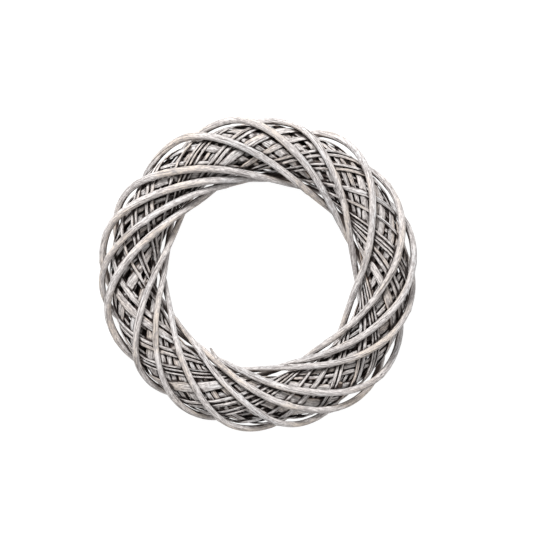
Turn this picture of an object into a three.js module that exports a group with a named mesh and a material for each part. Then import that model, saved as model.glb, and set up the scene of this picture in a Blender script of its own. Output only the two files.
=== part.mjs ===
// Wreath frame: the woven willow ring a florist wires flowers and greenery onto.
// Seven hoops make the core bundle. Four criss-cross layers of split willow are wound over it, and seven
// whole rods are wound over those, standing proud of the bundle all the way round. The butt of one more rod
// is tucked in under them.
// Millimetres, +Z up. The ring lies on its back: ring axis along Z, show side facing +Z, back flats on z = 0.
//
// Two numbers place a point of the weave:
//   bearing, the place around the ring: degrees, clockwise from +Y seen from the show side;
//   turn, the place around the bundle: 0 outer edge, 0.25 show side, 0.5 inner edge, 0.75 back.

import * as THREE from 'three';
import { mergeVertices } from 'three/addons/utils/BufferGeometryUtils.js';

// ---- driving dimensions ----------------------------------------------------------------------------

const RING_RADIUS = 119.2; // ring axis to the middle of the bundle
const CENTRE_HEIGHT = 26.9; // back flats to the middle of the bundle

const OUTER_HALF_DEPTH = 28.0; // middle of the bundle to the front and back faces of the outer rods
const OUTER_INNER_EDGE = 87.0; // ring axis to the innermost face of the outer rods
const OUTER_LOOPS = 7; // times the outer rods go round the ring, all together

const ROD_STEPS = 18; // facets along an outer rod for each turn round the bundle
const STRIP_STEPS = 18; // facets along a strip for each turn
const BACK_SHARE = 0.595; // how far from inner edge to next outer edge a rod has come when it crosses the back

const LAP_STEPS = 1.5; // steps an outer rod runs on past the middle of the back, beside the next rod
const LAP_APART = 8.2; // degrees between the two lapped ends
const LAP_EASE = 0.2; // turns it takes to stand aside

const HOOP_COUNT = 6; // hoops around the centre hoop
const HOOP_DIAMETER = 6.2;
const HOOP_SPACING = 6.7; // centre hoop to the hoops around it
const HOOP_STEPS = 30;
const HOOP_END_GAP = 0.6; // degrees left open where a hoop's ends meet

// One rod's sawn butt shows between two outer rods: where its cut face is, and which way it points.
const TUCKED_BUTT = {
  bearing: 143.5,
  across: 9.2,
  up: 19.1,
  lean: 60, // degrees from +Z
  heading: 225, // degrees from straight outwards, clockwise
  diameter: 4.2,
  length: 16,
  sides: 8,
};

const ROUND_SIDES = 6;
const ROUND_SCALE = 1.05; // makes the six-sided section as stout as the round rod

// Outer rods, one row for each pass over the show side, in order around the ring:
// bearing on the outer edge, radius reached there, bearing on the crown, bearing on the inner edge.
const OUTER_PASSES = [
  [8, 148.2, 35, 79],
  [32, 151.9, 63, 109],
  [58, 150.2, 93, 143],
  [76, 150.7, 114, 162],
  [96, 148.3, 130, 173],
  [125, 152.3, 157, 204],
  [139, 152.3, 173, 217],
  [161, 149.3, 188, 229],
  [184, 149.3, 212, 255],
  [205, 148.2, 234, 276],
  [226, 148.2, 250, 292],
  [251, 151.9, 280, 322],
  [265, 151.9, 294, 343],
  [281, 153.6, 310, 358],
  [297, 150.7, 325, 373],
  [325, 151.1, 353, 397],
  [347, 150.9, 376, 420],
];

// Each outer rod: number of turns it makes, diameter at the butt, diameter at the tip, and the degrees its
// butt stands aside where it laps the tip of the rod before it. A rod starts on the back where that one ends.
const OUTER_RODS = [
  [2, 6.1, 5.0, 4.1],
  [2, 6.4, 5.3, 0.6],
  [3, 7.0, 5.2, 4.1],
  [3, 6.7, 5.4, 4.1],
  [2, 6.1, 5.1, 4.1],
  [2, 6.7, 5.7, 4.1],
  [3, 7.0, 5.2, 4.1],
];

// Split willow layers, outermost first. hand +1 climbs the same way as the outer rods, -1 crosses them.
// across and depth are the layer's reach from the middle of the bundle, across the ring and up and down.
// Each strip: number of turns, width at the butt, width at the tip.
const LAYERS = [
  {
    name: 'cross_strip',
    hand: -1,
    loops: 8,
    across: 21.2,
    depth: 19.8,
    thickness: 1.5,
    swing: 3.0,
    drift: 3.0,
    start: 4,
    strips: [
      [4, 7.4, 6.0],
      [4, 4.4, 3.4],
      [4, 8.2, 6.8],
      [4, 6.4, 5.2],
      [4, 8.4, 7.0],
      [4, 5.2, 4.0],
      [3, 7.8, 6.8],
    ],
  },
  {
    name: 'under_strip',
    hand: 1,
    loops: 8,
    across: 18.95,
    depth: 17.2,
    thickness: 1.5,
    swing: 2.4,
    drift: 3.2,
    start: 9,
    strips: [
      [4, 8.4, 7.0],
      [4, 7.0, 5.8],
      [5, 8.2, 6.6],
      [4, 5.4, 4.4],
      [4, 8.4, 7.2],
      [4, 4.6, 3.8],
      [4, 8.0, 6.6],
    ],
  },
  {
    name: 'cross_twig',
    hand: -1,
    loops: 8,
    across: 16.25,
    depth: 14.55,
    thickness: 1.5,
    swing: 2.0,
    drift: 3.0,
    start: 10,
    strips: [
      [5, 5.6, 4.4],
      [5, 4.2, 3.4],
      [5, 6.4, 5.2],
      [5, 4.6, 3.6],
      [5, 6.2, 5.0],
      [4, 4.4, 3.6],
    ],
  },
  {
    name: 'lattice_strip',
    hand: 1,
    loops: 6,
    across: 13.8,
    depth: 12.0,
    thickness: 1.5,
    swing: 1.5,
    drift: 2.0,
    start: 31,
    strips: [
      [5, 7.0, 6.0],
      [5, 6.8, 5.8],
      [5, 7.4, 6.2],
      [5, 6.6, 5.6],
      [5, 7.2, 6.2],
    ],
  },
];

const STRIP_END_GAP = 0.02; // turns left open between one strip's tip and the next strip's butt

// ---- materials -------------------------------------------------------------------------------------

function barkMaterial(name, colour, roughness) {
  const material = new THREE.MeshStandardMaterial({ color: colour, roughness, metalness: 0 });
  material.name = name;
  return material;
}

const roundWillow = barkMaterial('whitewashed_round_willow', 0xcfc9c4, 0.82);
const splitWillow = barkMaterial('whitewashed_split_willow', 0xb9b1ab, 0.86);
const coreWillow = barkMaterial('brown_core_willow', 0x6e5f55, 0.9);

// ---- routes ----------------------------------------------------------------------------------------

function radians(degrees) {
  return (degrees * Math.PI) / 180;
}

function smoothStep(from, to, value) {
  return THREE.MathUtils.smoothstep(value, from, to);
}

// Point at a bearing, a given distance out from the bundle's middle across the ring and up from it.
function ringPoint(bearing, across, up) {
  const radius = RING_RADIUS + across;
  const angle = radians(bearing);
  return new THREE.Vector3(radius * Math.sin(angle), radius * Math.cos(angle), CENTRE_HEIGHT + up);
}

// Smooth value through evenly spaced knots; knotAt(index) gives each knot.
function throughKnots(knotAt, position) {
  const index = Math.floor(position);
  const part = position - index;
  const before = knotAt(index - 1);
  const here = knotAt(index);
  const next = knotAt(index + 1);
  const after = knotAt(index + 2);
  const slopeHere = (next - before) / 2;
  const slopeNext = (after - here) / 2;
  const rise = next - here;
  const cubic = slopeHere + slopeNext - 2 * rise;
  const square = 3 * rise - 2 * slopeHere - slopeNext;
  return here + part * (slopeHere + part * (square + part * cubic));
}

// Row of the outer pass a rod is on in a given turn, and how many times round the ring it has been by then.
function outerPass(turn) {
  const count = OUTER_PASSES.length;
  const place = OUTER_LOOPS * turn;
  const lap = Math.floor(place / count);
  return { row: OUTER_PASSES[place - lap * count], lapDegrees: 360 * lap };
}

// Bearing of the outer winding at each quarter turn: outer edge, crown, inner edge, back.
function outerBearingKnot(quarter) {
  const turn = Math.floor(quarter / 4);
  const { row, lapDegrees } = outerPass(turn);
  const inner = row[3] + lapDegrees;
  switch (quarter - 4 * turn) {
    case 0:
      return row[0] + lapDegrees;
    case 1:
      return row[2] + lapDegrees;
    case 2:
      return inner;
    default:
      return inner + BACK_SHARE * (outerBearingKnot(4 * turn + 4) - inner);
  }
}

// Radius reached by the outer winding at each half turn: outer edge, inner edge.
function outerEdgeKnot(half) {
  const turn = Math.floor(half / 2);
  return half === 2 * turn ? outerPass(turn).row[1] - RING_RADIUS : RING_RADIUS - OUTER_INNER_EDGE;
}

function outerRoute(firstTurn, [turns, butt, tip, buttShift], tipShift) {
  const start = firstTurn - 0.25 - LAP_STEPS / ROD_STEPS;
  const end = firstTurn + turns - 0.25 + LAP_STEPS / ROD_STEPS;
  const lap = (2 * LAP_STEPS) / ROD_STEPS;
  const radiusAt = (turn) => THREE.MathUtils.lerp(butt, tip, (turn - start) / (end - start)) / 2;
  const place = (turn) => {
    const angle = 2 * Math.PI * turn;
    const radius = radiusAt(turn);
    const across = throughKnots(outerEdgeKnot, 2 * turn) - radius;
    const depth = OUTER_HALF_DEPTH - radius;
    const buttAside = buttShift * (1 - smoothStep(start + lap, start + lap + LAP_EASE, turn));
    const tipAside = tipShift * smoothStep(end - lap - LAP_EASE, end - lap, turn);
    const bearing = throughKnots(outerBearingKnot, 4 * turn) + tipAside - buttAside;
    return {
      bearing,
      angle,
      across,
      depth,
      point: ringPoint(bearing, across * Math.cos(angle), depth * Math.sin(angle)),
    };
  };
  return { start, end, place, halfWidthAt: radiusAt, halfThicknessAt: radiusAt };
}

function layerRoute(layer, passes, firstTurn, [turns, butt, tip]) {
  const start = firstTurn - 0.25 + STRIP_END_GAP / 2;
  const end = firstTurn + turns - 0.25 - STRIP_END_GAP / 2;
  const halfWidthAt = (turn) => THREE.MathUtils.lerp(butt, tip, (turn - start) / (end - start)) / 2;
  // Two waves that close after a whole winding make the spacing uneven with no jump at its end.
  const wave = (turn, share, lag) => {
    const cycles = (Math.round(share * passes) * turn) / passes;
    return Math.sin(2 * Math.PI * cycles + lag);
  };
  const place = (turn) => {
    const angle = 2 * Math.PI * turn;
    const drift = layer.drift * (0.6 * wave(turn, 0.73, 0) + 0.4 * wave(turn, 0.81, 1));
    const advance = (360 * layer.loops * turn) / passes;
    const bearing = layer.start + layer.hand * (advance - layer.swing * Math.sin(angle)) + drift;
    return {
      bearing,
      angle,
      across: layer.across,
      depth: layer.depth,
      point: ringPoint(bearing, layer.across * Math.cos(angle), layer.depth * Math.sin(angle)),
    };
  };
  return { start, end, place, halfWidthAt, halfThicknessAt: () => layer.thickness / 2 };
}

// The hoops keep side by side and go once round the bundle's middle in one trip round the ring.
function hoopRoute(distance, seat, jointBearing) {
  const start = (jointBearing + HOOP_END_GAP / 2) / 360;
  const end = 1 + (jointBearing - HOOP_END_GAP / 2) / 360;
  const place = (turn) => {
    const angle = 2 * Math.PI * (turn + seat);
    const bearing = 360 * turn;
    return {
      bearing,
      angle,
      across: distance,
      depth: distance,
      point: ringPoint(bearing, distance * Math.cos(angle), distance * Math.sin(angle)),
    };
  };
  const radius = () => HOOP_DIAMETER / 2;
  return { start, end, place, halfWidthAt: radius, halfThicknessAt: radius };
}

// ---- solids ----------------------------------------------------------------------------------------

// Round section with a flat side turned to the outside of the bundle.
function roundSection() {
  const section = new THREE.Shape();
  for (let side = 0; side < ROUND_SIDES; side += 1) {
    const angle = (2 * Math.PI * (side + 0.5)) / ROUND_SIDES;
    const corner = [ROUND_SCALE * Math.cos(angle), ROUND_SCALE * Math.sin(angle)];
    if (side === 0) {
      section.moveTo(...corner);
    } else {
      section.lineTo(...corner);
    }
  }
  section.closePath();
  return section;
}

// Flat strip: bark side outside, split side inside.
function stripSection() {
  const section = new THREE.Shape();
  section.moveTo(1, -0.86);
  section.lineTo(1, 0.86);
  section.lineTo(-1, 1);
  section.lineTo(-1, -1);
  section.closePath();
  return section;
}

// Outward, sideways and forward directions of a rod at one turn. Outward stays square to the bundle's surface.
function frameAt(route, turn) {
  const step = 0.002;
  const here = route.place(turn);
  const forward = route.place(turn + step).point.sub(route.place(turn - step).point).normalize();
  const across = Math.cos(here.angle) * here.depth;
  const up = Math.sin(here.angle) * here.across;
  const bearing = radians(here.bearing);
  const outward = new THREE.Vector3(across * Math.sin(bearing), across * Math.cos(bearing), up);
  outward.addScaledVector(forward, -outward.dot(forward)).normalize();
  const sideways = new THREE.Vector3().crossVectors(forward, outward);
  return { point: here.point, outward, sideways };
}

function mergedSolid(geometry) {
  geometry.deleteAttribute('uv');
  geometry.deleteAttribute('normal');
  return mergeVertices(geometry, 0.0001);
}

// A straight bar of the section, bent along the route and tapered.
function bentBar(section, route, steps) {
  const bar = new THREE.ExtrudeGeometry(section, { depth: 1, steps, bevelEnabled: false });
  const position = bar.getAttribute('position');
  const frames = [];
  for (let ring = 0; ring <= steps; ring += 1) {
    const turn = THREE.MathUtils.lerp(route.start, route.end, ring / steps);
    frames.push({ ...frameAt(route, turn), turn });
  }
  for (let index = 0; index < position.count; index += 1) {
    const frame = frames[Math.round(position.getZ(index) * steps)];
    const outward = position.getX(index) * route.halfThicknessAt(frame.turn);
    const sideways = position.getY(index) * route.halfWidthAt(frame.turn);
    const moved = frame.point
      .clone()
      .addScaledVector(frame.outward, outward)
      .addScaledVector(frame.sideways, sideways);
    position.setXYZ(index, moved.x, moved.y, moved.z);
  }
  return mergedSolid(bar);
}

// A straight round butt whose cut face is at the point given and faces the way it leans.
function straightButt({ bearing, across, up, lean, heading, diameter, length, sides }) {
  const tilt = radians(lean);
  const aim = radians(bearing + heading);
  const facing = new THREE.Vector3(Math.sin(tilt) * Math.sin(aim), Math.sin(tilt) * Math.cos(aim), Math.cos(tilt));
  const turned = new THREE.Quaternion().setFromUnitVectors(new THREE.Vector3(0, 1, 0), facing);
  const butt = new THREE.CylinderGeometry(diameter / 2, diameter / 2, length, sides);
  butt.translate(0, -length / 2, 0).applyQuaternion(turned).translate(...ringPoint(bearing, across, up));
  return mergedSolid(butt);
}

// The outer rods rest on small flats worn on the back: nothing of them reaches below the resting plane.
function flattenBack(geometry) {
  const position = geometry.getAttribute('position');
  for (let index = 0; index < position.count; index += 1) {
    position.setZ(index, Math.max(position.getZ(index), 0));
  }
  return geometry;
}

function addPiece(group, name, geometry, material) {
  geometry.computeVertexNormals();
  const mesh = new THREE.Mesh(geometry, material);
  mesh.name = name;
  group.add(mesh);
}

// ---- assembly --------------------------------------------------------------------------------------

const wreath = new THREE.Group();
wreath.name = 'wreath_frame';

function addOuterRods() {
  let turn = 0;
  OUTER_RODS.forEach((rod, index) => {
    const nextRod = OUTER_RODS[(index + 1) % OUTER_RODS.length];
    const route = outerRoute(turn, rod, LAP_APART - nextRod[3]);
    const steps = Math.round((route.end - route.start) * ROD_STEPS);
    const geometry = flattenBack(bentBar(roundSection(), route, steps));
    addPiece(wreath, `outer_rod_${index + 1}`, geometry, roundWillow);
    turn += rod[0];
  });
}

function addLayer(layer) {
  const passes = layer.strips.reduce((sum, strip) => sum + strip[0], 0);
  let turn = 0;
  layer.strips.forEach((strip, index) => {
    const route = layerRoute(layer, passes, turn, strip);
    const geometry = bentBar(stripSection(), route, strip[0] * STRIP_STEPS);
    addPiece(wreath, `${layer.name}_${index + 1}`, geometry, splitWillow);
    turn += strip[0];
  });
}

function addCoreHoops() {
  addPiece(wreath, 'core_hoop_1', bentBar(roundSection(), hoopRoute(0.001, 0, 40), HOOP_STEPS), coreWillow);
  for (let hoop = 0; hoop < HOOP_COUNT; hoop += 1) {
    const route = hoopRoute(HOOP_SPACING, hoop / HOOP_COUNT, 100 + 145 * hoop);
    addPiece(wreath, `core_hoop_${hoop + 2}`, bentBar(roundSection(), route, HOOP_STEPS), coreWillow);
  }
}

// The frame's origin is the middle of the whole ring's outline, on the resting plane.
function centreOnOutline(group) {
  const outline = new THREE.Box3().setFromObject(group);
  const middle = outline.getCenter(new THREE.Vector3());
  group.children.forEach((mesh) => mesh.geometry.translate(-middle.x, -middle.y, -outline.min.z));
}

addOuterRods();
LAYERS.forEach(addLayer);
addCoreHoops();
addPiece(wreath, 'tucked_butt', straightButt(TUCKED_BUTT), roundWillow);
centreOnOutline(wreath);

export default wreath;
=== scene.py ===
"""Wreath frame of whitewashed willow: every rod and strip of the CAD frame rebuilt as grown wood.

Millimetres are used while shapes are worked out, and metres once they become meshes. A place in the weave
is a bearing around the ring (degrees, clockwise from +Y seen from the show side) and a turn around the
bundle (0 outer edge, 0.25 show side, 0.5 inner edge, 0.75 back), as in the CAD part.
"""
import math

import bpy
import numpy as np
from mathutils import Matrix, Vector
from mathutils.bvhtree import BVHTree


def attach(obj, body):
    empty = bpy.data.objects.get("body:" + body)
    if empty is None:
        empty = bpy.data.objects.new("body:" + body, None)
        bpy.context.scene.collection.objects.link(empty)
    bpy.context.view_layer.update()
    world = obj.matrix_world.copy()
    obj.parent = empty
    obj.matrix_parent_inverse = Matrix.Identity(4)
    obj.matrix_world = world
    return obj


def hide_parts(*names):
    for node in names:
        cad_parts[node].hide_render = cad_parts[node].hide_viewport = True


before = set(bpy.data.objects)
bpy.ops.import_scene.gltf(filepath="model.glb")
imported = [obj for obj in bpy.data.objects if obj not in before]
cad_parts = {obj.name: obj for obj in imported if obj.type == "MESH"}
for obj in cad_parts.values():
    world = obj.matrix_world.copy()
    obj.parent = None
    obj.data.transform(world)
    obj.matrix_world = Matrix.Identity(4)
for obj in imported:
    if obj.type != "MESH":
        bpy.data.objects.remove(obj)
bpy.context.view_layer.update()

# ---- dimensions, in millimetres --------------------------------------------------------------------------

MM = 0.001
RING_RADIUS = 119.2
RING_CENTRE = np.array([1.601, 0.230, 26.9])

OUTER_HALF_DEPTH = 28.0
BACK_RELIEF = 1.15  # the back of the outer rods is this much shallower, so that it rests on the floor
OUTER_INNER_EDGE = 87.0
OUTER_LOOPS = 7  # times the outer rods go round the ring, all together
OUTER_LAP = 1.5 / 18  # turns by which a rod runs on past each end
LAP_APART = 8.2  # degrees between a butt and the tip that lies beside it
LAP_EASE = 0.2  # turns in which a lapped end swings back to its course
BACK_SHARE = 0.595  # how far along from the inner edge to the next outer edge the back is crossed

HOOP_DIAMETER = 5.4
HOOP_SPACING = 6.7  # centre hoop to the hoops around it
HOOPS_AROUND = 6
CENTRE_HOOP_DISTANCE = 0.001  # not nought, so that its outward directions are defined
HOOP_END_GAP = 0.6  # degrees
STRIP_END_GAP = 0.02  # turns

# Outer rod passes: bearing on the outer edge, radius there, bearing on the crown, bearing on the inner edge.
OUTER_PASSES = (
    (8, 148.2, 35, 79),
    (32, 151.9, 63, 109),
    (58, 150.2, 93, 143),
    (76, 150.7, 114, 162),
    (96, 148.3, 130, 173),
    (125, 152.3, 157, 204),
    (139, 152.3, 173, 217),
    (161, 149.3, 188, 229),
    (184, 149.3, 212, 255),
    (205, 148.2, 234, 276),
    (226, 148.2, 250, 292),
    (251, 151.9, 280, 322),
    (265, 151.9, 294, 343),
    (281, 153.6, 310, 358),
    (297, 150.7, 325, 373),
    (325, 151.1, 353, 397),
    (347, 150.9, 376, 420),
)

# Outer rods: turns, diameter at the butt, diameter at the tip, degrees the butt stands aside in its lap.
OUTER_RODS = (
    (2, 6.1, 5.0, 4.1),
    (2, 6.4, 5.3, 0.6),
    (3, 7.0, 5.2, 4.1),
    (3, 6.7, 5.4, 4.1),
    (2, 6.1, 5.1, 4.1),
    (2, 6.7, 5.7, 4.1),
    (3, 7.0, 5.2, 4.1),
)

# Split willow layers, outermost first. hand +1 climbs the same way as the outer rods, -1 crosses them.
# across and depth: reach from the middle of the bundle. relief: how much shallower the back is.
# spread: how widely a strip's slivers are spread, fill: how wide its wood is in all, over the width below.
# stray: how far the strips wander, sideways and outward. wash: how much white they have taken.
# strips: turns, width at the butt, width at the tip, and how many slivers it has split into along its length
# (0 for a thin whole rod).
LAYERS = (
    dict(
        name="cross_strip", hand=-1, loops=8, across=21.8, depth=19.7, thickness=1.5, relief=1.0,
        swing=3.0, drift=3.0, start=4, wash=0.97, spread=1.25, fill=1.12, stray=(1.1, 0.15),
        strips=((4, 7.4, 6.0, 2), (4, 4.4, 3.4, 0), (4, 8.2, 6.8, 1), (4, 6.4, 5.2, 2), (4, 7.8, 6.4, 3),
                (4, 5.2, 4.0, 1), (3, 7.4, 6.4, 2)),
    ),
    dict(
        name="under_strip", hand=1, loops=8, across=19.6, depth=17.2, thickness=1.5, relief=0.7,
        swing=2.4, drift=3.2, start=9, wash=0.98, spread=1.45, fill=1.42, stray=(1.0, 0.15),
        strips=((4, 7.8, 6.6, 2), (4, 7.0, 5.8, 1), (5, 7.2, 6.0, 2), (4, 5.4, 4.4, 1), (4, 7.2, 6.2, 1),
                (4, 4.6, 3.8, 1), (4, 7.2, 6.0, 2)),
    ),
    dict(
        name="cross_twig", hand=-1, loops=8, across=17.3, depth=14.8, thickness=1.5, relief=0.4,
        swing=2.0, drift=3.0, start=10, wash=0.86, spread=1.6, fill=1.45, stray=(1.3, 0.15),
        strips=((5, 5.6, 4.4, 2), (5, 4.2, 3.4, 0), (5, 5.8, 4.8, 2), (5, 4.6, 3.6, 1), (5, 6.2, 5.0, 2),
                (4, 4.4, 3.6, 0)),
    ),
    dict(
        name="lattice_strip", hand=1, loops=6, across=14.9, depth=12.3, thickness=1.5, relief=0.1,
        swing=1.5, drift=2.0, start=31, wash=0.68, spread=1.65, fill=1.60, stray=(1.0, 0.15),
        strips=((5, 7.0, 6.0, 2), (5, 6.8, 5.8, 1), (5, 7.4, 6.2, 2), (5, 6.6, 5.6, 1), (5, 7.2, 6.2, 2)),
    ),
)
SLIVER_GAP = 0.75  # between the slivers of a split strip
TWIG_SHARE = 0.60  # diameter of a thin whole rod over the width of the strip it stands in for
TWIG_STRAY = (0.7, 0.2)
FULL_WIDTH_RADIUS = 122.0  # from the middle of the opening; strips lie closer, and are narrower, inside it
LEAST_WIDTH = 0.74  # share of the width that is left at the inner edge
SPLAY = 1.10  # how far slivers stand apart, over their even places in the strip
SPLAY_WAVER = (55.0, 0.20)  # spacing and size of the waver in that
CURL = 0.84  # of a strip round the bundle; over across plus depth it is the bend per mm
STRIP_TWIST = 0.13
CORE_STRAY = (0.1, 0.1)

# First seed of the random draws of each kind of piece.
OUTER_SEED = 100
LAYER_SEED = 200
LAYER_SEED_STEP = 50
COURSE_SEED = 700  # on top of a strip's own seed: the wander that all its slivers share
CORE_SEED = 500

# The sawn butt that shows between two outer rods: where its cut face is, and which way it points.
TUCKED_BUTT = dict(bearing=143.3, across=7.8, up=21.4, lean=52, heading=225, diameter=4.4, length=4.5)
# Bearing, across and up of the root and of the tip of a broken side shoot, and its diameters there.
BROKEN_SPUR = dict(ends=((207.0, -29.6, 8.0), (213.6, -35.4, 7.0)), diameters=(4.4, 1.7))

# ---- small helpers ---------------------------------------------------------------------------------------


def smooth_step(low, high, value):
    part = np.clip((value - low) / (high - low), 0.0, 1.0)
    return part * part * (3 - 2 * part)


def through_knots(knots, first, position):
    """Catmull-Rom curve through evenly spaced knots; knots[0] belongs to position first."""
    place = np.asarray(position, float) - first
    index = np.clip(np.floor(place).astype(int), 1, len(knots) - 3)
    part = place - index
    before, here, after, later = (knots[index + step] for step in (-1, 0, 1, 2))
    slope_here = (after - before) / 2
    slope_after = (later - here) / 2
    rise = after - here
    cubic = slope_here + slope_after - 2 * rise
    square = 3 * rise - 2 * slope_here - slope_after
    return here + part * (slope_here + part * (square + part * cubic))


def waver(rng, position, spacing, size):
    """Smooth random waver along a rod: a new value about every spacing, up to about size."""
    count = int(math.ceil(np.max(position) / spacing)) + 5
    knots = rng.uniform(-1.0, 1.0, count)
    return size * through_knots(knots, -1.5, position / spacing)


def unit(vectors):
    return vectors / np.linalg.norm(vectors, axis=1, keepdims=True)


# ---- routes ----------------------------------------------------------------------------------------------


def ring_point(bearing, across, up):
    angle = np.radians(bearing)
    radius = RING_RADIUS + across
    height = np.broadcast_to(up, angle.shape)
    return np.stack([radius * np.sin(angle), radius * np.cos(angle), height], axis=1) + RING_CENTRE


def outer_knots():
    """Bearing at each quarter turn and reach at each half turn of the outer winding, with spare ends."""
    count = len(OUTER_PASSES)
    rows = []
    for turn in range(-2, count + 4):
        lap, place = divmod(OUTER_LOOPS * turn, count)
        edge_bearing, edge, crown, inner = OUTER_PASSES[place]
        rows.append((edge_bearing + 360 * lap, edge, crown + 360 * lap, inner + 360 * lap))
    bearings, reaches = [], []
    for row, after in zip(rows, rows[1:]):
        bearings += [row[0], row[2], row[3], row[3] + BACK_SHARE * (after[0] - row[3])]
        reaches += [row[1] - RING_RADIUS, RING_RADIUS - OUTER_INNER_EDGE]
    return np.array(bearings, float), np.array(reaches, float)


BEARING_KNOTS, REACH_KNOTS = outer_knots()


def outer_route(first_turn, rod, tip_shift):
    turns, butt, tip, butt_shift = rod
    start = first_turn - 0.25 - OUTER_LAP
    end = first_turn + turns - 0.25 + OUTER_LAP

    def place(turn, radius):
        angle = 2 * np.pi * turn
        across = through_knots(REACH_KNOTS, -4, 2 * turn) - radius
        depth = OUTER_HALF_DEPTH - radius
        lap = 2 * OUTER_LAP
        butt_aside = butt_shift * (1 - smooth_step(start + lap, start + lap + LAP_EASE, turn))
        tip_aside = tip_shift * smooth_step(end - lap - LAP_EASE, end - lap, turn)
        bearing = through_knots(BEARING_KNOTS, -8, 4 * turn) + tip_aside - butt_aside
        relief = BACK_RELIEF * np.clip(-np.sin(angle), 0, 1) ** 2
        return bearing, angle, across, depth, relief

    return start, end, butt / 2, tip / 2, place


def layer_route(layer, passes, first_turn, strip):
    turns, butt, tip, _ = strip
    start = first_turn - 0.25 + STRIP_END_GAP / 2
    end = first_turn + turns - 0.25 - STRIP_END_GAP / 2

    def wave(turn, share, lag):
        return np.sin(2 * np.pi * round(share * passes) * turn / passes + lag)

    def place(turn, _radius):
        angle = 2 * np.pi * turn
        drift = layer["drift"] * (0.6 * wave(turn, 0.73, 0) + 0.4 * wave(turn, 0.81, 1))
        advance = 360 * layer["loops"] * turn / passes
        bearing = layer["start"] + layer["hand"] * (advance - layer["swing"] * np.sin(angle)) + drift
        relief = layer["relief"] * np.clip(-np.sin(angle), 0, 1) ** 2
        return bearing, angle, layer["across"], layer["depth"], relief

    return start, end, butt / 2, tip / 2, place


def hoop_route(distance, seat, joint_bearing):
    start = (joint_bearing + HOOP_END_GAP / 2) / 360
    end = 1 + (joint_bearing - HOOP_END_GAP / 2) / 360

    def place(turn, _radius):
        return 360 * turn, 2 * np.pi * (turn + seat), distance, distance, 0.0

    return start, end, HOOP_DIAMETER / 2, HOOP_DIAMETER / 2, place


def beside(route, share, width):
    """The same route moved sideways, for a sliver; share and width are both over the strip's own width."""
    start, end, butt, tip, place = route[:5]
    return start, end, butt, tip, place, share, width


ROUGH_STEPS = 1200  # for measuring a route's length
STRAY_SPACING_SIDE, STRAY_SPACING_OUT = 38.0, 30.0


def route_frames(route, step, rng, wander, splay=None):
    """Points about step apart along a route, with outward and sideways directions and half widths.

    wander is how far, in mm, the rod strays from its route, sideways and outward. splay makes the random
    draws for how far a sliver stands off its neighbours in the same strip.
    """
    start, end, butt, tip, place = route[:5]
    share, width = route[5:] if len(route) > 5 else (0.0, 1.0)

    def points_at(turn):
        half = butt + (tip - butt) * (turn - start) / (end - start)
        bearing, angle, across, depth, relief = place(turn, half)
        point = ring_point(bearing, across * np.cos(angle), depth * np.sin(angle) + relief)
        surface = np.radians(bearing)
        flat = np.cos(angle) * depth
        rise = np.sin(angle) * across * np.ones_like(angle)
        outward = np.stack([flat * np.sin(surface), flat * np.cos(surface), rise], axis=1)
        return point, outward, half

    rough = np.linspace(start, end, ROUGH_STEPS)
    paces = np.linalg.norm(np.diff(points_at(rough)[0], axis=0), axis=1)
    travelled = np.concatenate([[0], np.cumsum(paces)])
    count = max(8, int(round(travelled[-1] / step)))
    length = np.linspace(0, travelled[-1], count + 1)
    turn = np.interp(length, travelled, rough)
    point, outward, half = points_at(turn)
    forward = unit(np.gradient(point, axis=0))
    outward = unit(outward - forward * np.sum(outward * forward, axis=1, keepdims=True))
    sideways = np.cross(forward, outward)
    apart = share * 2 * half
    if splay is not None:
        apart = apart * (SPLAY + waver(splay, length, *SPLAY_WAVER))
        reach = np.hypot(point[:, 0] - RING_CENTRE[0], point[:, 1] - RING_CENTRE[1])
        half = half * np.clip(reach / FULL_WIDTH_RADIUS, LEAST_WIDTH, 1.0)
    astray_side = waver(rng, length, STRAY_SPACING_SIDE, wander[0]) + apart
    half = half * width
    astray_out = waver(rng, length, STRAY_SPACING_OUT, wander[1])
    point = point + sideways * astray_side[:, None] + outward * astray_out[:, None]
    forward = unit(np.gradient(point, axis=0))
    outward = unit(outward - forward * np.sum(outward * forward, axis=1, keepdims=True))
    sideways = np.cross(forward, outward)
    return dict(point=point, outward=outward, sideways=sideways, half=half, length=length, apart=apart)


# ---- meshes ----------------------------------------------------------------------------------------------

BARS = []  # every bar's mesh, with its number of rings and of sides
CUT_DEPTH = 0.25  # of the middle of a cut end
CUT_LOOPS = ((0.93, -0.18), (0.55, 0.05), (0.16, CUT_DEPTH))  # share of the radius, depth under the last ring
CUT_WASH = 0.5
PITH_WASH = 0.2
SHARP_ANGLE = math.radians(48)


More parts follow.
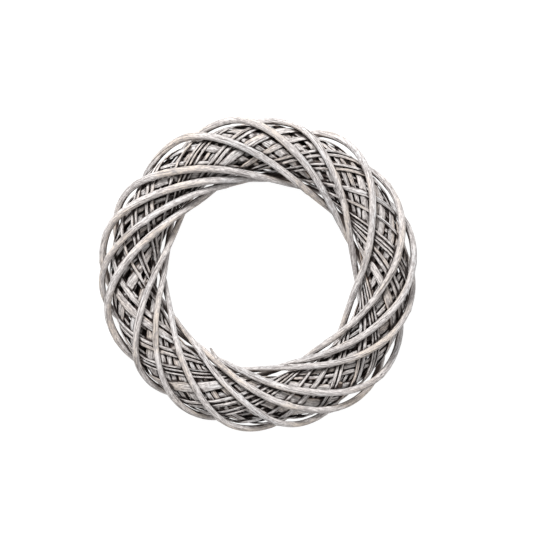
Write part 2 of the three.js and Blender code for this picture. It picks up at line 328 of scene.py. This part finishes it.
def closed_bar(name, rings, grain, wash, materials, floor=None):
    """Mesh of a bar from its rings of vertices (ring, side, xyz), with a rounded, sunk cut at each end.

    grain is each vertex's place in the straightened rod in mm, wash how much white it has taken. No vertex
    goes lower than floor.
    """
    count, sides, _ = rings.shape
    points, grains, washes = [rings.reshape(-1, 3)], [grain.reshape(-1, 3)], [wash.reshape(-1)]
    rims = [np.ones(count * sides)]
    faces = []
    side = np.arange(sides)
    after = (side + 1) % sides
    for ring in range(count - 1):
        low, high = ring * sides, (ring + 1) * sides
        faces.append(np.stack([low + side, low + after, high + after, high + side], axis=1))
    quads = np.concatenate(faces)
    total = count * sides
    cap_faces = []
    for ring, inward in ((0, 1), (count - 1, -1)):
        edge = rings[ring]
        middle = edge.mean(axis=0)
        along = rings[ring + inward].mean(axis=0) - middle
        along = along / np.linalg.norm(along)
        base = ring * sides
        for share, depth in CUT_LOOPS:
            loop = middle + (edge - middle) * share + along * depth
            points.append(loop)
            grains.append(grain[ring] * np.array([1, share, share]) + np.array([-depth, 0, 0]))
            washes.append(np.full(sides, CUT_WASH))
            rims.append(np.full(sides, share))
            cap = np.stack([base + side, base + after, total + after, total + side], axis=1)
            cap_faces.append(cap if inward < 0 else cap[:, ::-1])
            base = total
            total += sides
        points.append((middle + along * (CUT_DEPTH + 0.1))[None])
        grains.append(grain[ring].mean(axis=0)[None])
        washes.append(np.array([PITH_WASH]))
        rims.append(np.array([0.0]))
        fan = np.stack([base + side, base + after, np.full(sides, total)], axis=1)
        cap_faces.append(fan if inward < 0 else fan[:, ::-1])
        total += 1
    vertices = np.concatenate(points)
    if floor is not None:
        vertices[:, 2] = np.maximum(vertices[:, 2], floor)
    mesh = bpy.data.meshes.new(name)
    polygons = quads.tolist()
    bark_faces = len(polygons)
    for cap in cap_faces:
        polygons += cap.tolist()
    mesh.from_pydata((vertices * MM).tolist(), [], polygons)
    put_attribute(mesh, "grain", "FLOAT_VECTOR", "vector", np.concatenate(grains))
    put_attribute(mesh, "wash", "FLOAT", "value", np.concatenate(washes))
    put_attribute(mesh, "rim", "FLOAT", "value", np.concatenate(rims))
    for material in materials:
        mesh.materials.append(material)
    slots = np.zeros(len(polygons), dtype=np.int32)
    slots[bark_faces:] = 1
    mesh.polygons.foreach_set("material_index", slots)
    mesh.polygons.foreach_set("use_smooth", np.ones(len(polygons), dtype=bool))
    mesh.set_sharp_from_angle(angle=SHARP_ANGLE)
    mesh.update()
    BARS.append((mesh, count, sides))
    return mesh


# how far round each point is open; the materials paint shade from it where little is
LOOK_TILT = math.radians(52)
LOOK_AROUND = 6
LOOK_FROM = 0.35 * MM  # off the surface
LOOK_FAR = 45 * MM
LOOK_CLOSE = 4.5 * MM
OPEN_END = 0.8  # how openly cut ends lie


def look_round(tree, point, normal):
    """Shares of the directions over a point of a surface in which nothing is near, and something is close."""
    side = normal.orthogonal().normalized()
    other = normal.cross(side)
    start = point + normal * LOOK_FROM
    free = close = 0.0
    directions = [normal, normal]
    for look in range(LOOK_AROUND):
        turn = 2 * math.pi * look / LOOK_AROUND
        outward = side * math.cos(turn) + other * math.sin(turn)
        directions.append(normal * math.cos(LOOK_TILT) + outward * math.sin(LOOK_TILT))
    for direction in directions:
        far = tree.ray_cast(start, direction, LOOK_FAR)[3]
        free += far is None
        close += far is not None and far < LOOK_CLOSE
    return free / len(directions), close / len(directions)


def open_sky():
    """Marks each bar with how openly it lies (0 shut in, 1 free) and how closely it is crowded (1 all round);
    the materials paint shade into the colour from both.

    Every second ring and side is looked from, and the rest lie between them.
    """
    corners, faces, offset = [], [], 0
    for mesh, _, _ in BARS:
        points = np.empty(len(mesh.vertices) * 3, dtype=np.float32)
        mesh.vertices.foreach_get("co", points)
        corners.append(points.reshape(-1, 3))
        faces += [[offset + corner for corner in polygon.vertices] for polygon in mesh.polygons]
        offset += len(mesh.vertices)
    tree = BVHTree.FromPolygons(np.concatenate(corners).tolist(), faces)
    for (mesh, count, sides), points in zip(BARS, corners):
        normals = np.empty(len(mesh.vertices) * 3, dtype=np.float32)
        mesh.vertices.foreach_get("normal", normals)
        normals = normals.reshape(-1, 3)
        rings = np.arange(0, count, 2)
        chosen = np.arange(0, sides, 2)
        freedom = np.empty((len(rings), len(chosen)))
        closeness = np.empty((len(rings), len(chosen)))
        for row, ring in enumerate(rings):
            for column, side in enumerate(chosen):
                vertex = ring * sides + side
                seen = look_round(tree, Vector(points[vertex]), Vector(normals[vertex]))
                freedom[row, column], closeness[row, column] = seen
        for name, shares, at_end in (("open", freedom, OPEN_END), ("close", closeness, 0.0)):
            along = [np.interp(np.arange(count), rings, shares[:, column]) for column in range(len(chosen))]
            around = np.repeat(np.stack(along, axis=1), 2, axis=1)[:, :sides]
            around[:, 1::2] = (around[:, 1::2] + np.roll(around, -1, axis=1)[:, 1::2]) / 2
            values = np.full(len(mesh.vertices), at_end)
            values[: count * sides] = around.reshape(-1)
            put_attribute(mesh, name, "FLOAT", "value", values)


def put_attribute(mesh, name, kind, field, values):
    attribute = mesh.attributes.new(name, kind, "POINT")
    attribute.data.foreach_set(field, np.ascontiguousarray(values, dtype=np.float32).ravel())


def add_piece(name, mesh, nodes):
    piece = bpy.data.objects.new(name, mesh)
    bpy.context.scene.collection.objects.link(piece)
    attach(piece, "root")
    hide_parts(*nodes)


GRAIN_START = 4000  # mm of grain over which the bars' starting places are scattered
BARK_SWELL = 0.03  # share by which the bark stands outside the given diameter
BUD_TURN = 2.4  # radians from one bud to the next


def round_bar(
    name, route, rng, materials, sides, step, wander=(0.5, 0.25), wash=1.0, inner_wash=0.25, floor=None
):
    """A whole willow rod: tapered, not quite round, with bud swellings and shallow grooves in its bark."""
    path = route_frames(route, step, rng, wander)
    length, half = path["length"], path["half"]
    count = len(length)
    angle = 2 * np.pi * np.arange(sides) / sides + np.pi  # starts on the side facing the bundle
    around = angle[None, :]
    radius = half[:, None] * np.full((count, sides), 1 + BARK_SWELL)
    radius = radius * (1 + waver(rng, length, 26.0, 0.035)[:, None])
    oval_turn = waver(rng, length, 90.0, 2.5)[:, None]
    radius = radius * (1 + 0.035 * np.cos(2 * (around - oval_turn)))
    spot = rng.uniform(12, 40)
    bud_side = rng.uniform(0, 2 * np.pi)
    while spot < length[-1] - 8:
        along = length[:, None] - spot
        near_bud = np.cos(around - bud_side)
        # the joint is a little swollen all round, with the bud on one side and a dip beyond it
        radius = radius + 0.22 * np.exp(-((along / 4.5) ** 2))
        radius = radius + 0.62 * np.exp(-((along / 2.2) ** 2)) * np.clip(near_bud, 0, 1) ** 6
        radius = radius - 0.16 * np.exp(-(((along - 3.4) / 1.3) ** 2))
        bud_side += BUD_TURN + rng.uniform(-0.3, 0.3)
        spot += rng.uniform(34, 62)
    grooves = np.stack([waver(rng, length, 16.0, 1.0) for _ in range(sides)], axis=1)
    radius = radius * (1 + 0.034 * grooves)
    out = radius * np.cos(around)
    side = radius * np.sin(around)
    rings = (
        path["point"][:, None, :]
        + path["outward"][:, None, :] * out[:, :, None]
        + path["sideways"][:, None, :] * side[:, :, None]
    )
    along = np.broadcast_to(length[:, None], out.shape) + rng.uniform(0, GRAIN_START)
    grain = np.stack([along, out, side], axis=2)
    level = path["outward"][:, 2:] * np.cos(around) + path["sideways"][:, 2:] * np.sin(around)
    facing = np.maximum(np.cos(around), level)
    taken = wash * (inner_wash + (1 - inner_wash) * smooth_step(0.05, 0.80, facing))
    taken = taken + waver(rng, length, 45.0, 0.10)[:, None]
    return closed_bar(name, rings, grain, taken, materials, floor)


# Half rod in section, over its thickness and its half width: outward, sideways.
STRIP_OUTLINE = np.array(
    [
        (-0.50, 0.00), (-0.55, -0.55), (-0.50, -0.90), (0.00, -1.00), (0.55, -0.80), (0.85, -0.45),
        (1.00, 0.00), (0.85, 0.45), (0.55, 0.80), (0.00, 1.00), (-0.50, 0.90), (-0.55, 0.55),
    ]
)
STRIP_STEP = 2.4
THICKNESS_SHARE = 0.62  # of the layer's thickness, from a strip's middle to its crown
ROUND_UNTIL, FLAT_OVER = 3.5, 9.0  # mm: strips wider than the first grow thinner, over the second
TWIST_HALF = 2.2  # half width from which a strip twists less


def strip_bar(name, route, layer, rng, course_rng, materials):
    """A split half rod: bark on its rounded outside, torn wood on its flat inside, edges a little ragged.

    It bends down to the bundle on both sides of its strip's middle line. course_rng makes the draws for the
    wander that the slivers of a strip share.
    """
    path = route_frames(route, STRIP_STEP, course_rng, layer["stray"], rng)
    length, half = path["length"], path["half"]
    curl = CURL / (layer["across"] + layer["depth"])
    thickness = layer["thickness"]
    facing, beyond = STRIP_OUTLINE[None, :, 0], STRIP_OUTLINE[None, :, 1]
    flat_share = np.clip(1 - (half[:, None] * 2 - ROUND_UNTIL) / FLAT_OVER, 0.55, 1.1)
    width = half * (1 + waver(rng, length, 24.0, 0.09))
    left = width * (1 + waver(rng, length, 7.0, 0.05))
    right = width * (1 + waver(rng, length, 7.0, 0.05))
    thick = THICKNESS_SHARE * thickness * (1 + waver(rng, length, 30.0, 0.12))
    out = facing * thick[:, None] * (0.9 + 0.1 * flat_share)
    side = np.where(beyond < 0, beyond * left[:, None], beyond * right[:, None])
    rough = np.stack([waver(rng, length, 9.0, 1.0) for _ in range(len(STRIP_OUTLINE))], axis=1)
    out = out * (1 + 0.06 * rough)
    roll = waver(rng, length, 55.0, STRIP_TWIST)[:, None] * np.clip(TWIST_HALF / half[:, None], 0, 1)
    out, side = out * np.cos(roll) - side * np.sin(roll), out * np.sin(roll) + side * np.cos(roll)
    out = out - curl * (path["apart"][:, None] + side) ** 2
    rings = (
        path["point"][:, None, :]
        + path["outward"][:, None, :] * out[:, :, None]
        + path["sideways"][:, None, :] * side[:, :, None]
    )
    along = np.broadcast_to(length[:, None], out.shape) + rng.uniform(0, GRAIN_START)
    straight_out = np.broadcast_to(facing * thickness, out.shape)
    grain = np.stack([along, straight_out, beyond * half[:, None]], axis=2)
    taken = layer["wash"] * smooth_step(-0.35, 0.80, facing)
    taken = taken + waver(rng, length, 40.0, 0.12)[:, None]
    return closed_bar(name, rings, grain, taken, materials)


# ---- materials -------------------------------------------------------------------------------------------


class Nodes:
    """Short calls for building a node tree."""

    def __init__(self, name):
        self.material = bpy.data.materials.new(name)
        self.material.use_nodes = True
        self.tree = self.material.node_tree
        self.tree.nodes.clear()

    def add(self, kind, inputs=(), **settings):
        node = self.tree.nodes.new(kind)
        for key, value in settings.items():
            setattr(node, key, value)
        for key, value in dict(inputs).items():
            socket = node.inputs[key]
            if isinstance(value, bpy.types.NodeSocket):
                self.tree.links.new(value, socket)
            else:
                socket.default_value = value
        return node

    def attribute(self, name):
        return self.add("ShaderNodeAttribute", attribute_name=name, attribute_type="GEOMETRY")

    def math(self, operation, first, second, third=0.0):
        node = self.add("ShaderNodeMath", {0: first, 1: second, 2: third}, operation=operation)
        return node.outputs[0]

    def noise(self, vector, scale, detail, rough, seed=(0.0, 0.0, 0.0)):
        stretched = self.add("ShaderNodeMapping", {"Vector": vector, "Location": seed, "Scale": scale})
        node = self.add(
            "ShaderNodeTexNoise",
            {"Vector": stretched.outputs["Vector"], "Scale": 1.0, "Detail": detail, "Roughness": rough},
        )
        return node.outputs["Fac"]

    def ramp(self, value, low, high):
        node = self.add(
            "ShaderNodeMapRange",
            {"Value": value, "From Min": low, "From Max": high, "To Min": 0.0, "To Max": 1.0},
            interpolation_type="SMOOTHSTEP",
        )
        return node.outputs["Result"]

    def mix(self, share, first, second):
        node = self.add("ShaderNodeMix", data_type="RGBA")
        sockets = [socket for socket in node.inputs if socket.enabled]
        for socket, value in zip(sockets, (share, first, second)):
            if isinstance(value, bpy.types.NodeSocket):
                self.tree.links.new(value, socket)
            elif socket.type == "RGBA":
                socket.default_value = (*value, 1.0)
            else:
                socket.default_value = value
        return next(socket for socket in node.outputs if socket.enabled)


COOL_TINT = (0.95, 0.985, 1.01)


def washed_willow(name, bark, under, tan, dim, bright, warm, loose, bump):
    """Bark or split wood under a dry-brushed wash that catches on the grain and partly misses the hollows,
    with painted shade: shut-in places get less wash, and shut-in and crowded places are darkened towards the
    bark colour.

    bark, under and tan are the wood, dim, bright and warm the wash on it; bark is also the colour of the
    painted shade.
    loose is how unevenly the wash has taken, bump the depth of the grain in mm. Noise scales are per mm,
    along the rod and across it.
    """
    n = Nodes(name)
    grain = n.attribute("grain").outputs["Vector"]
    sky = n.attribute("open").outputs["Fac"]
    # the wash is thinned where a point is shut in: partly wash that missed the hollows, partly painted shade
    wash_reach_and_shade = n.math("MULTIPLY_ADD", n.ramp(sky, 0.05, 0.55), 0.64, 0.36)
    taken = n.math("MULTIPLY", n.attribute("wash").outputs["Fac"], wash_reach_and_shade)
    strands = n.noise(grain, (0.050, 0.72, 0.72), 3.0, 0.6, (3.0, 9.0, 1.0))
    mottles = n.noise(grain, (0.24, 0.78, 0.78), 3.0, 0.65, (5.0, 31.0, 8.0))
    fibres = n.noise(grain, (0.11, 2.1, 2.1), 4.0, 0.6)
    patches = n.noise(grain, (0.035, 0.16, 0.16), 2.0, 0.5, (17.0, 2.0, 5.0))
    tones = n.noise(grain, (0.014, 0.07, 0.07), 2.0, 0.5, (1.0, 4.0, 40.0))

    # how well the wash covers here, thinner where shut in, partly as painted shade
    cover = n.math("MULTIPLY_ADD", taken, 1.5, -0.28 - 1.9 * loose)
    for layer, share in ((strands, 1.15), (mottles, 1.25), (fibres, 0.75), (patches, 0.70)):
        cover = n.math("MULTIPLY_ADD", layer, share * loose, cover)
    cover = n.ramp(cover, 0.06, 0.46)

    # the wood, the wash, and the wash on the wood
    wood = n.mix(n.ramp(strands, 0.38, 0.62), bark, under)
    wood = n.mix(n.math("MULTIPLY", n.ramp(fibres, 0.52, 0.66), 0.5), wood, warm)
    wood = n.mix(n.math("MULTIPLY", n.ramp(tones, 0.50, 0.60), 0.5), wood, tan)
    cool = tuple(channel * share for channel, share in zip(bright, COOL_TINT))
    tint = n.mix(n.ramp(tones, 0.50, 0.64), bright, warm)
    tint = n.mix(n.ramp(tones, 0.47, 0.38), tint, cool)
    lightness = n.math("MULTIPLY_ADD", mottles, 1.0, n.math("MULTIPLY", strands, 0.7))
    lightness = n.math("MULTIPLY_ADD", fibres, 0.8, lightness)
    chalk = n.mix(n.ramp(lightness, 1.11, 1.37), dim, tint)
    colour = n.mix(cover, wood, chalk)

    # cracks in the grain
    cracks = n.ramp(n.noise(grain, (0.028, 1.25, 1.25), 2.0, 0.5, (11.0, 6.0, 2.0)), 0.40, 0.31)
    colour = n.mix(n.math("MULTIPLY", cracks, 0.75), colour, bark)
    # painted shade: places that are shut in or crowded are darkened towards the bark colour
    colour = n.mix(n.math("MULTIPLY", n.ramp(sky, 0.38, 0.13), 0.95), colour, bark)
    crevice_shade = n.ramp(n.attribute("close").outputs["Fac"], 0.20, 0.46)
    colour = n.mix(n.math("MULTIPLY", crevice_shade, 0.93), colour, bark)

    height = n.math("MULTIPLY_ADD", fibres, 0.8, n.math("MULTIPLY", strands, 0.9))
    height = n.math("MULTIPLY_ADD", mottles, 0.5, height)
    height = n.math("MULTIPLY_ADD", cracks, -0.9, height)
    bumped = n.add("ShaderNodeBump", {"Strength": 0.9, "Distance": bump * MM, "Height": height})
    rough = n.math("MULTIPLY_ADD", cover, 0.14, 0.72)
    shader = n.add(
        "ShaderNodeBsdfPrincipled",
        {
            "Base Color": colour,
            "Roughness": rough,
            "Specular IOR Level": 0.28,
            "Normal": bumped.outputs["Normal"],
        },
    )
    n.add("ShaderNodeOutputMaterial", {"Surface": shader.outputs["BSDF"]})
    return n.material


def cut_wood(name):
    """A cut end: pale wood darkened by age, with a dark pith and a wide dark rim that is partly the bark and
    partly painted shadow of the gap round the end.
    """
    n = Nodes(name)
    grain = n.attribute("grain").outputs["Vector"]
    rim = n.attribute("rim").outputs["Fac"]
    fibre = n.noise(grain, (1.5, 1.5, 1.5), 3.0, 0.6)
    wood = n.mix(fibre, (0.20, 0.165, 0.140), (0.40, 0.345, 0.300))
    wood = n.mix(n.ramp(rim, 0.34, 0.14), wood, (0.030, 0.021, 0.017))
    # the dark rim: partly the bark ring, partly painted shadow of the gap round the end
    wood = n.mix(n.ramp(rim, 0.60, 0.80), wood, (0.018, 0.012, 0.009))
    bumped = n.add("ShaderNodeBump", {"Strength": 0.7, "Distance": 0.15 * MM, "Height": fibre})
    shader = n.add(
        "ShaderNodeBsdfPrincipled",
        {"Base Color": wood, "Roughness": 0.9, "Specular IOR Level": 0.2, "Normal": bumped.outputs["Normal"]},
    )
    n.add("ShaderNodeOutputMaterial", {"Surface": shader.outputs["BSDF"]})
    return n.material


ROUND = washed_willow(
    "whitewashed_round_willow",
    bark=(0.085, 0.062, 0.052),
    under=(0.27, 0.228, 0.212),
    tan=(0.42, 0.27, 0.17),
    dim=(0.370, 0.340, 0.332),
    bright=(0.715, 0.676, 0.660),
    warm=(0.68, 0.600, 0.530),
    loose=1.05,
    bump=0.8,
)
SPLIT = washed_willow(
    "whitewashed_split_willow",
    bark=(0.036, 0.024, 0.021),
    under=(0.20, 0.163, 0.150),
    tan=(0.40, 0.25, 0.155),
    dim=(0.310, 0.283, 0.275),
    bright=(0.725, 0.685, 0.667),
    warm=(0.68, 0.598, 0.535),
    loose=1.15,
    bump=0.85,
)
CORE = washed_willow(
    "brown_core_willow",
    bark=(0.014, 0.009, 0.008),
    under=(0.050, 0.035, 0.030),
    tan=(0.10, 0.06, 0.04),
    dim=(0.12, 0.104, 0.098),
    bright=(0.30, 0.272, 0.260),
    warm=(0.20, 0.155, 0.125),
    loose=1.0,
    bump=0.4,
)
CUT = cut_wood("cut_willow_end")

# ---- camera, floor and light -----------------------------------------------------------------------------

VIEW_WIDTH = 0.5042  # metres across the picture at the ring
VIEW_CENTRE = Vector((0.0081, 0.0074, 0.0269))
CAMERA_DISTANCE = 2.2
SENSOR = 36.0
FLOOR_HALF = 4.0
FLOOR_DROP = 0.0002  # under the wreath, so that it never shows through the flats
FLOOR_GREY = (0.16, 0.16, 0.16, 1.0)
FLOOR_GLOW = 0.93  # with the light on it this gives the photograph's white
WHITE = (1.0, 1.0, 1.0, 1.0)
WORLD_STRENGTH = 0.64
KEY_PLACE = (-0.30, 1.00, 1.28)
KEY_SIZE = 0.5
KEY_POWER = 30.5


def add_camera():
    data = bpy.data.cameras.new("camera")
    data.sensor_width = SENSOR
    data.lens = SENSOR * CAMERA_DISTANCE / VIEW_WIDTH
    data.clip_end = 20
    camera = bpy.data.objects.new("camera", data)
    camera.location = VIEW_CENTRE + Vector((0, 0, CAMERA_DISTANCE))
    bpy.context.scene.collection.objects.link(camera)
    bpy.context.scene.camera = camera


def add_floor():
    mesh = bpy.data.meshes.new("floor")
    corners = [(x * FLOOR_HALF, y * FLOOR_HALF, 0) for x, y in ((-1, -1), (1, -1), (1, 1), (-1, 1))]
    mesh.from_pydata(corners, [], [(0, 1, 2, 3)])
    n = Nodes("floor_white")
    shader = n.add(
        "ShaderNodeBsdfPrincipled",
        {
            "Base Color": FLOOR_GREY,
            "Roughness": 0.9,
            "Emission Color": WHITE,
            "Emission Strength": FLOOR_GLOW,
        },
    )
    n.add("ShaderNodeOutputMaterial", {"Surface": shader.outputs["BSDF"]})
    mesh.materials.append(n.material)
    floor = bpy.data.objects.new("floor", mesh)
    floor.location.z = -FLOOR_DROP
    bpy.context.scene.collection.objects.link(floor)


def add_world():
    world = bpy.data.worlds.new("studio")
    world.use_nodes = True
    background = world.node_tree.nodes["Background"]
    background.inputs["Color"].default_value = WHITE
    background.inputs["Strength"].default_value = WORLD_STRENGTH
    bpy.context.scene.world = world


def add_key_light():
    data = bpy.data.lights.new("key", "AREA")
    data.shape = "DISK"
    data.size = KEY_SIZE
    data.energy = KEY_POWER
    light = bpy.data.objects.new("key", data)
    light.location = KEY_PLACE
    light.rotation_euler = (-Vector(KEY_PLACE)).to_track_quat("-Z", "Y").to_euler()
    bpy.context.scene.collection.objects.link(light)


add_camera()
add_floor()
add_world()
add_key_light()
bpy.context.scene.view_settings.view_transform = "Standard"

# ---- the wreath ------------------------------------------------------------------------------------------

LOWEST = 0.05  # mm over the floor


def add_outer_rods():
    turn = 0
    for index, rod in enumerate(OUTER_RODS):
        tip_shift = LAP_APART - OUTER_RODS[(index + 1) % len(OUTER_RODS)][3]
        route = outer_route(turn, rod, tip_shift)
        rng = np.random.default_rng(OUTER_SEED + index)
        name = f"outer_rod_{index + 1}"
        mesh = round_bar(
            f"{name}_bark", route, rng, (ROUND, CUT), sides=20, step=2.0, inner_wash=0.55, floor=LOWEST
        )
        add_piece(f"{name}_bark", mesh, [name])
        turn += rod[0]


def add_layer(layer, seed):
    passes = sum(strip[0] for strip in layer["strips"])
    turn = 0
    for index, strip in enumerate(layer["strips"]):
        slivers = strip[3]
        route = layer_route(layer, passes, turn, strip)
        rng = np.random.default_rng(seed + index)
        name = f"{layer['name']}_{index + 1}"
        if slivers == 0:
            thin_route = (*route[:2], route[2] * TWIG_SHARE, route[3] * TWIG_SHARE, route[4])
            mesh = round_bar(
                f"{name}_wood", thin_route, rng, (ROUND, CUT), sides=12, step=2.4, wander=TWIG_STRAY,
                wash=layer["wash"],
            )
            add_piece(f"{name}_wood", mesh, [name])
        for sliver in range(slivers):
            mark = "abc"[sliver] if slivers > 1 else ""
            share = ((sliver + 0.5) / slivers - 0.5) * layer["spread"]
            width = layer["fill"] / slivers - (SLIVER_GAP / strip[1] if slivers > 1 else 0)
            sliver_route = beside(route, share, width)
            course_rng = np.random.default_rng(seed + index + COURSE_SEED)
            mesh = strip_bar(f"{name}{mark}_wood", sliver_route, layer, rng, course_rng, (SPLIT, CUT))
            add_piece(f"{name}{mark}_wood", mesh, [name])
        turn += strip[0]


def add_core():
    # distance from the middle of the bundle, turn, and bearing of the joint; the joints are spread about
    seats = [(CENTRE_HOOP_DISTANCE, 0, 40)]
    seats += [(HOOP_SPACING, hoop / HOOPS_AROUND, 100 + 145 * hoop) for hoop in range(HOOPS_AROUND)]
    for index, seat in enumerate(seats):
        rng = np.random.default_rng(CORE_SEED + index)
        name = f"core_hoop_{index + 1}"
        mesh = round_bar(
            f"{name}_bark", hoop_route(*seat), rng, (CORE, CUT), sides=12, step=3.5, wander=CORE_STRAY,
            wash=0.45,
        )
        add_piece(f"{name}_bark", mesh, [name])


def straight_bar(name, base, tip, base_diameter, tip_diameter, materials):
    """A short straight length of rod, cut across at both ends."""
    sides, count = 16, 9
    length = np.linspace(0, np.linalg.norm(tip - base), count)
    forward = unit((tip - base)[None])[0]
    level = unit(np.cross(forward, [0, 0, 1])[None])[0]
    over = np.cross(level, forward)
    angle = 2 * np.pi * np.arange(sides) / sides
    radius = np.linspace(base_diameter, tip_diameter, count)[:, None] / 2
    radius = radius * (1 + 0.05 * np.cos(2 * angle) + 0.03 * np.cos(5 * angle + 1))
    across, up = radius * np.cos(angle), radius * np.sin(angle)
    middle = base + forward * length[:, None]
    rings = middle[:, None, :] + across[:, :, None] * level + up[:, :, None] * over
    grain = np.stack([np.broadcast_to(length[:, None], across.shape), across, up], axis=2)
    return closed_bar(name, rings, grain, np.full((count, sides), 0.9), materials)


def add_tucked_butt():
    tilt = math.radians(TUCKED_BUTT["lean"])
    aim = math.radians(TUCKED_BUTT["bearing"] + TUCKED_BUTT["heading"])
    facing = np.array([math.sin(tilt) * math.sin(aim), math.sin(tilt) * math.cos(aim), math.cos(tilt)])
    tip = ring_point(np.array([TUCKED_BUTT["bearing"]]), TUCKED_BUTT["across"], TUCKED_BUTT["up"])[0]
    base = tip - facing * TUCKED_BUTT["length"]
    diameter = TUCKED_BUTT["diameter"]
    mesh = straight_bar("tucked_butt_bark", base, tip, diameter, diameter, (ROUND, CUT))
    add_piece("tucked_butt_bark", mesh, ["tucked_butt"])


def add_broken_spur():
    """The stub of a side shoot on an outer rod, which points into the opening.

    It comes after open_sky, so that it adds no painted shade to the bars round it, and is marked as lying
    openly itself, so that it gets no painted shade.
    """
    ends = BROKEN_SPUR["ends"]
    base, tip = (ring_point(np.array([bearing]), across, up)[0] for bearing, across, up in ends)
    mesh = straight_bar("outer_rod_6_spur", base, tip, *BROKEN_SPUR["diameters"], (ROUND, CUT))
    put_attribute(mesh, "open", "FLOAT", "value", np.full(len(mesh.vertices), OPEN_END))
    add_piece("outer_rod_6_spur", mesh, ["outer_rod_6"])


add_outer_rods()
for number, one_layer in enumerate(LAYERS):
    add_layer(one_layer, LAYER_SEED + LAYER_SEED_STEP * number)
add_core()
add_tucked_butt()
open_sky()
add_broken_spur()
